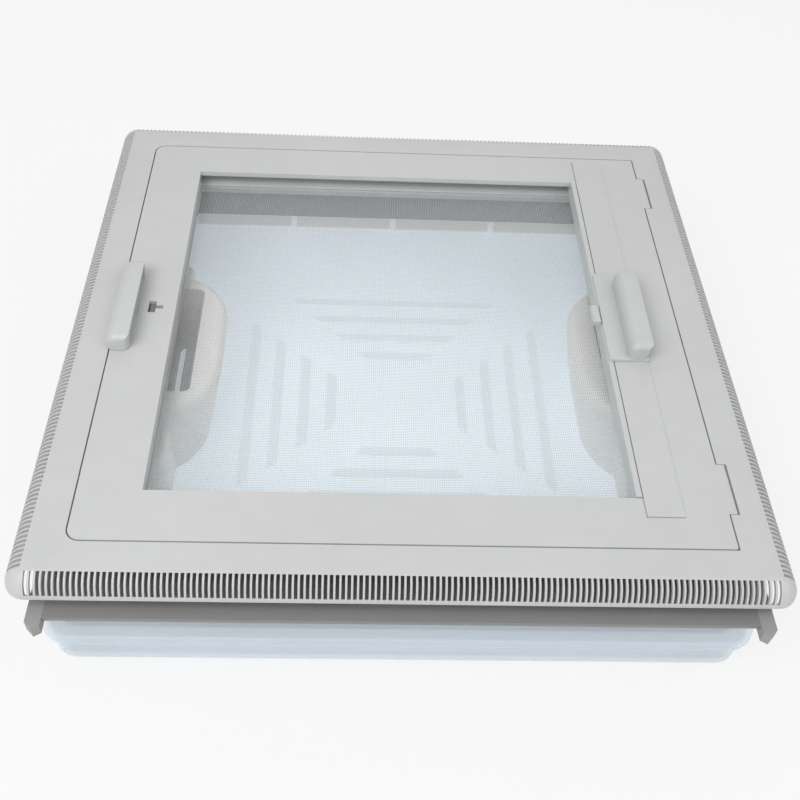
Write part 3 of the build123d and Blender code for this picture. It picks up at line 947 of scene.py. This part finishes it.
@dataclass
class DomeHandle:
    """Hollow pebble-shaped grip with a leaning finger well, on a back wall with the stay's lugs.

    It is modelled on the left, where its inner faces have the higher X, and mirrored for the right.
    """

    name: str
    side: Side
    foot: float = HANDLE_LOW[Z]
    top: float = HANDLE_HIGH[Z]
    crown_inner: float = 125.5
    crown_half: float = 74.0
    crown_corner: float = 50.0
    base_inner: float = 139.0
    base_half: float = 79.5
    soft_edge: float = 9.0
    least_edge: float = 1.0
    wall: float = 2.6
    well_top: float = 146.0
    well_foot: float = 161.0
    well_half: float = 53.0
    well_corner: float = 5.0
    well_past: float = 2.0
    funnel_bite: float = 0.5
    funnel_play: float = 0.1
    back_inner: float = 170.0
    back_outer: float = 173.0
    back_half: float = HANDLE_HIGH[Y]
    back_top: float = 55.0
    back_corner: float = 9.0
    shoulder_front: float = 159.5
    shoulder_half: float = 104.0
    shoulder_corner: float = 12.0
    shoulder_edge: float = 4.0
    shoulder_side: float = 6.0
    shoulder_roof: float = 5.0
    shoulder_play: float = 1.0
    slab_foot: float = 15.0
    slab_cut: float = 20.0
    overlap: float = 0.2
    pivot: Point = (-186.4, 0.0, 14.3)
    eye: float = 3.8
    pin: float = 2.0
    lug_low: float = 20.5
    lug_thick: float = 3.0
    lug_bite: float = 0.3
    lug_round: float = 0.8
    bore: float = 100.0
    run_out: float = 60.0
    cutter_past: float = 1.0
    cutter_half: float = 200.0
    cutter_reach: float = 100.0

    def block(self, inset: float, low: float, high: float) -> Workpiece:
        """Filled grip with a rounded crown, which runs out behind the back wall.

        Args:
            inset: how far inside the outer faces it lies, in millimetres.
            low: height of its underside.
            high: height of its crown.

        Returns:
            The block.
        """
        crown, base = self.crown_inner + inset, self.base_inner + inset
        behind = self.back_outer + self.run_out
        piece = Workpiece.box("grip", (-behind, -self.crown_half + inset, low),
                              (-crown, self.crown_half - inset, high))
        foot, roof = low * MM + TOUCH, high * MM - TOUCH
        piece.pick(Pick.VERTICES, lambda vertex: vertex.co.z < foot and vertex.co.x > -crown * MM - TOUCH)
        piece.move(x=crown - base)
        for side in (-1, 1):
            piece.pick(Pick.VERTICES, lambda vertex: vertex.co.z < foot and vertex.co.y * side > 0)
            piece.move(y=side * (self.base_half - self.crown_half))
        piece.round_edges(lambda edge: runs(edge, Z) and least(edge, X) > -base * MM - TOUCH,
                          self.crown_corner - inset, segments=14)
        piece.round_edges(lambda edge: least(edge, Z) > roof and most(edge, X) > -behind * MM + TOUCH,
                          max(self.least_edge, self.soft_edge - inset), segments=6)
        return piece

    def well(self, inset: float, low: float, high: float) -> Workpiece:
        """Filled finger well.

        Args:
            inset: how far outside the well's faces it reaches, in millimetres.
            low: height of its underside.
            high: height of its top.

        Returns:
            The block.
        """
        slope = (self.well_foot - self.well_top) / (self.top - self.foot)
        rim = self.well_top - inset + slope * (self.top - high)
        piece = Workpiece.box("well", (-self.back_inner - inset, -self.well_half - inset, low),
                              (-rim, self.well_half + inset, high))
        foot, inner = low * MM + TOUCH, -rim * MM - TOUCH
        piece.pick(Pick.VERTICES, lambda vertex: vertex.co.z < foot and vertex.co.x > inner)
        piece.move(x=-slope * (high - low))
        piece.round_edges(lambda edge: runs(edge, Z), self.well_corner + inset, segments=6)
        return piece

    def back(self) -> Workpiece:
        """Back wall with hollow, rounded shoulders.

        Returns:
            The back.
        """
        roof = self.back_top * MM - TOUCH
        wide = Workpiece.box("back", (-self.back_outer, -self.back_half, self.foot),
                             (-self.back_inner, self.back_half, self.back_top))
        wide.round_edges(lambda edge: runs(edge, X) and least(edge, Z) > roof,
                         self.back_corner, segments=6)
        rear, front = -self.back_outer + self.shoulder_play, -self.shoulder_front
        piece = Workpiece.box("shoulders", (rear, -self.shoulder_half, self.foot),
                              (front, self.shoulder_half, self.back_top))
        piece.round_edges(lambda edge: runs(edge, Z) and least(edge, X) > front * MM - TOUCH,
                          self.shoulder_corner, segments=8)
        piece.round_edges(lambda edge: least(edge, Z) > roof and most(edge, X) > rear * MM + TOUCH,
                          self.shoulder_edge, segments=5)
        half = self.shoulder_half - self.shoulder_side
        piece.combine(Workpiece.box("room", (-self.back_inner, -half, self.foot - self.cutter_past),
                                    (front - self.wall, half, self.back_top - self.shoulder_roof)))
        piece.combine(wide, Joining.ADD)
        return piece

    def slab(self) -> Workpiece:
        """Upper back wall, with the grip's own outline.

        Returns:
            The slab.
        """
        piece = self.block(0.0, self.slab_foot, self.top)
        piece.combine(Workpiece.box("slab", (-self.back_outer, -self.cutter_half, self.slab_cut),
                                    (-self.back_inner + self.overlap, self.cutter_half, self.cutter_reach)),
                      Joining.KEEP_SHARED)
        return piece

    def lug(self, side: int) -> Workpiece:
        """Lug with a rounded end, which holds the pivot pin.

        Args:
            side: -1 for the near one and 1 for the far one.

        Returns:
            The lug.
        """
        x, _, z = self.pivot
        near, far = sorted((side * self.lug_low, side * (self.lug_low + self.lug_thick)))
        piece = Workpiece.box("lug", (x - self.eye, near, z - self.eye),
                              (-self.back_outer + self.lug_bite, far, z + self.eye))
        end = (x - self.eye) * MM + TOUCH
        piece.round_edges(lambda edge: runs(edge, Y) and most(edge, X) < end,
                          self.eye * self.lug_round, segments=5)
        return piece

    def build(self) -> None:
        """Models the handle and puts it in place of its node."""
        piece = self.block(0.0, self.foot, self.top)
        inner_foot, inner_top = self.foot - self.cutter_past, self.top - self.wall
        piece.combine(self.block(self.wall, inner_foot, inner_top))
        funnel = self.well(self.wall, self.foot, inner_top + self.funnel_bite)
        funnel.combine(self.block(self.funnel_play, inner_foot, self.top), Joining.KEEP_SHARED)
        piece.combine(funnel, Joining.ADD)
        piece.combine(Workpiece.box("behind", (-self.back_inner - self.cutter_reach, -self.cutter_half, 0),
                                    (-self.back_inner, self.cutter_half, self.cutter_reach)))
        piece.combine(self.back(), Joining.ADD)
        piece.combine(self.slab(), Joining.ADD)
        piece.combine(self.well(0.0, self.foot - self.well_past, self.top + self.well_past))
        for side in (-1, 1):
            piece.combine(self.lug(side), Joining.ADD)
        piece.combine(Workpiece.rod("pin_hole", self.pin, self.bore, self.pivot))
        if self.side is Side.RIGHT:
            piece.mirror()
        piece.obj.name = self.name + "_dressed"
        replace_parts(piece.finish(CREAM, body="dome"), self.name)


@dataclass
class FingerBar:
    """Smooth finger bar: a soft slope on the left, and a crisp rim over a finger recess on the right."""

    name: str
    body: str
    centre: float
    middle: float = -2.5
    length: float = 81.0
    width: float = 16.0
    slope: float = 7.0
    end_round: float = 4.5
    rim_round: float = 0.6
    recess: float = 1.4
    pocket: float = 3.5
    pocket_rim: float = 0.9
    plate_right: float | None = None
    plate_thick: float = 2.0
    plate_round: float = 0.7
    sunk: float = 0.2

    def bar(self, foot: float, roof: float) -> Workpiece:
        """The bar without its plate.

        Args:
            foot: height of its underside, in millimetres.
            roof: height of its top.

        Returns:
            The bar.
        """
        left, right = self.centre - self.width / 2, self.centre + self.width / 2
        near, far = self.middle - self.length / 2, self.middle + self.length / 2
        piece = Workpiece.box(self.name + "_bar", (left, near, foot), (right, far, roof))
        inner, base, top = right * MM - TOUCH, foot * MM + TOUCH, roof * MM - TOUCH
        piece.pick(Pick.VERTICES, lambda vertex: vertex.co.x > inner and vertex.co.z < base)
        piece.move(x=-self.recess)
        piece.round_edges(lambda edge: least(edge, Z) > top and most(edge, X) < left * MM + TOUCH,
                          self.slope, segments=8)
        for end in (near, far):
            piece.round_edges(
                lambda edge: most(edge, Z) > base
                and all(abs(vertex.co.y - end * MM) < TOUCH for vertex in edge.verts),
                self.end_round, segments=6)
        piece.round_edges(lambda edge: least(edge, Z) > top and least(edge, X) > inner,
                          self.rim_round, segments=3)
        half_side = self.length * (roof - foot) / 2 * MM ** 2
        piece.pick(Pick.FACES, lambda face: face.normal.x > 0.95 and face.calc_area() > half_side)
        piece.inset(self.pocket_rim)
        piece.extrude(x=-self.pocket)
        return piece

    def plate(self, low: Point, high: Point) -> Workpiece:
        """The plate under the bar.

        Args:
            low: lowest corner, in millimetres.
            high: highest corner.

        Returns:
            The plate with a rounded rim.
        """
        piece = Workpiece.box("plate", low, high)
        top = high[Z] * MM - TOUCH
        piece.round_edges(lambda edge: least(edge, Z) > top or runs(edge, Z),
                          self.plate_round, segments=3)
        return piece

    def build(self) -> None:
        """Models the bar and puts it in place of its node."""
        low, high = node_box(self.name)
        if self.plate_right is None:
            piece = self.bar(low[Z], high[Z])
        else:
            face = low[Z] + self.plate_thick
            piece = self.bar(face - self.sunk, high[Z])
            piece.combine(self.plate(low, (self.plate_right, high[Y], face)), Joining.ADD)
        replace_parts(piece.finish(GRIP, body=self.body), self.name)


@dataclass
class FlyScreen:
    """Fine net below the window of the flap."""

    tuck: float = 0.5
    thick: float = 0.3
    cells: int = 40

    def build(self) -> None:
        """Models the net, tucked further under its frame on the left, and puts it in place of its node."""
        low, high = node_box("fly_screen")
        piece = Workpiece.grid("fly_net", (low[X] - self.tuck, low[Y]), (high[X], high[Y]),
                               self.cells, self.cells, (low[Z] + high[Z]) / 2)
        piece.modify("SOLIDIFY", thickness=self.thick * MM, offset=0.0)
        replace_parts(piece.finish(NET, body="flap"), "fly_screen")


@dataclass
class BlindCloth:
    """Pleated cloth, folded flat between the end bar and the flap's wall."""

    end: float = 166.9
    gap: float = 0.15
    folds: int = 42
    thick: float = 0.18
    blend_height: float = 90.0
    halvings: int = 40

    def spread(self, share: float) -> float:
        """Where a fold lies at rest, so that the drawn blind is even.

        Args:
            share: the fold's place on the drawn blind, from 0 to 1.

        Returns:
            Its place on the folded blind, from 0 to 1.
        """
        low, high = 0.0, 1.0
        for _ in range(self.halvings):
            middle = (low + high) / 2
            if middle * middle * (3 - 2 * middle) < share:
                low = middle
            else:
                high = middle
        return (low + high) / 2

    def build(self) -> None:
        """Models the cloth and puts it in place of its node."""
        (start, near, low), (_, far, high) = node_box("blind_fabric")
        foot, panel = low + self.gap, high - low - 2 * self.gap
        width = self.end - start
        step = width / self.folds
        piece = Workpiece.grid("blind_cloth", (start, near), (self.end, far), self.folds, 1, foot)
        for fold in range(self.folds + 1):
            place = start + fold * step
            piece.pick(Pick.VERTICES, lambda vertex: abs(vertex.co.x - place * MM) < 0.01 * step * MM
                       and abs(vertex.co.z - foot * MM) < TOUCH)
            piece.move(x=start + width * self.spread(fold / self.folds) - place,
                       z=panel if fold % 2 == 0 else 0.0)
        piece.modify("SOLIDIFY", thickness=self.thick * MM, offset=0.0)
        obj = piece.finish(CLOTH, angle=20.0)
        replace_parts(obj, "blind_fabric")
        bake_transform(obj)


# Studio


@dataclass(frozen=True)
class Lamp:
    """A round soft lamp that points at the window."""

    name: str
    place: Point
    size: float
    power: float

    def build(self, target: Point) -> None:
        """Hangs the lamp.

        Args:
            target: what it points at, in millimetres.
        """
        data = bpy.data.lights.new(self.name, "AREA")
        data.shape = "DISK"
        data.size = self.size * MM
        data.energy = self.power
        lamp = bpy.data.objects.new(self.name, data)
        bpy.context.scene.collection.objects.link(lamp)
        lamp.location = Vector(self.place) * MM
        lamp.rotation_euler = (Vector(target) * MM - lamp.location).to_track_quat("-Z", "Y").to_euler()


@dataclass
class Studio:
    """Pale floor, soft light and the photograph's camera."""

    eye: Point = (-36.3, -566.6, 619.9)
    elevation: float = 46.99
    yaw: float = 3.99
    roll: float = 4.13
    focal_pixels: float = 1081.76
    frame_pixels: float = 800.0
    sensor: float = 36.0
    target: Point = (0.0, 0.0, 80.0)
    floor_size: float = 14000.0
    floor_drop: float = 0.2
    floor_tones: tuple[Colour, Colour] = ((0.90, 0.90, 0.90), (0.92, 0.92, 0.92))
    seen_floor: Colour = (0.955, 0.955, 0.955)
    seen_share: float = 0.8
    sky_light: float = 0.50
    seen_sky: float = 0.96
    lamps: tuple[Lamp, ...] = (
        Lamp("key_lamp", (-700.0, -900.0, 1400.0), 1300.0, 16.2),
        Lamp("fill_lamp", (1100.0, -500.0, 1200.0), 1500.0, 5.5),
        Lamp("back_lamp", (0.0, 1200.0, 1300.0), 1500.0, 3.5),
    )

    def camera(self) -> None:
        """Sets the camera where the photograph was taken."""
        elevation, yaw, roll = radians(self.elevation), radians(self.yaw), radians(self.roll)
        ahead = Vector((sin(yaw) * cos(elevation), cos(yaw) * cos(elevation), -sin(elevation)))
        level = ahead.cross(Vector((0, 0, 1))).normalized()
        upright = level.cross(ahead)
        right = level * cos(roll) + upright * sin(roll)
        up = upright * cos(roll) - level * sin(roll)
        data = bpy.data.cameras.new("photo_camera")
        data.sensor_width = self.sensor
        data.lens = self.focal_pixels / self.frame_pixels * self.sensor
        camera = bpy.data.objects.new("photo_camera", data)
        bpy.context.scene.collection.objects.link(camera)
        turn = Matrix((right, up, -ahead)).transposed().to_4x4()
        camera.matrix_world = Matrix.Translation(Vector(self.eye) * MM) @ turn
        bpy.context.scene.camera = camera

    def floor(self) -> None:
        """Lays the floor. The camera sees it nearly white, and it still takes the window's shadow."""
        Workpiece.clear()
        bpy.ops.mesh.primitive_plane_add(size=self.floor_size * MM, location=(0, 0, -self.floor_drop * MM))
        floor = bpy.context.object
        floor.name = "pale_floor"
        surface = Surface("pale_floor")
        speck = surface.noise(cells=30.0, octaves=2.0)
        surface.set(Base_Color=surface.blend_colours(speck, *self.floor_tones), Roughness=0.7)
        seen = surface.node("ShaderNodeLightPath", output="Is Camera Ray") * self.seen_share
        glow = surface.node("ShaderNodeEmission", inputs={"Color": self.seen_floor})
        mixed = surface.node("ShaderNodeMixShader", inputs={0: seen, 1: surface.shaded(), 2: glow})
        surface.feed(surface.output.inputs["Surface"], mixed)
        floor.data.materials.append(surface.material)

    def sky(self) -> None:
        """Sets a world that looks nearly white and lights the window more softly."""
        world = bpy.data.worlds.new("studio")
        bpy.context.scene.world = world
        world.use_nodes = True
        graph = Graph(world.node_tree)
        seen = graph.node("ShaderNodeLightPath", output="Is Camera Ray")
        strength = graph.node("ShaderNodeMix", {"data_type": "FLOAT"},
                              {0: seen, 2: self.sky_light, 3: self.seen_sky})
        back = graph.tree.nodes["Background"]
        graph.feed(back.inputs["Color"], (1.0, 1.0, 1.0))
        graph.feed(back.inputs["Strength"], strength)

    def build(self) -> None:
        """Sets up the whole studio."""
        self.camera()
        self.floor()
        for lamp in self.lamps:
            lamp.build(self.target)
        self.sky()
        bpy.context.scene.view_settings.view_transform = "Standard"


def main() -> None:
    """Builds the looks of every piece and the studio."""
    logging.basicConfig(level=logging.INFO, format="%(message)s")
    Workpiece.clear()
    for finish, nodes in FINISHED_NODES.items():
        for node in nodes:
            BOOK.dress(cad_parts[node], finish)
            LOG.info("%s: %s", node, finish.name)
    CeilingTrim().build()
    DomeHandle("left_handle", Side.LEFT).build()
    DomeHandle("right_handle", Side.RIGHT).build()
    FingerBar("latch_grip", "latch", centre=-191.8).build()
    FingerBar("blind_grip", "blind", centre=163.2, plate_right=170.3).build()
    FlyScreen().build()
    BlindCloth().build()
    Studio().build()


if __name__ == "__main__":
    main()
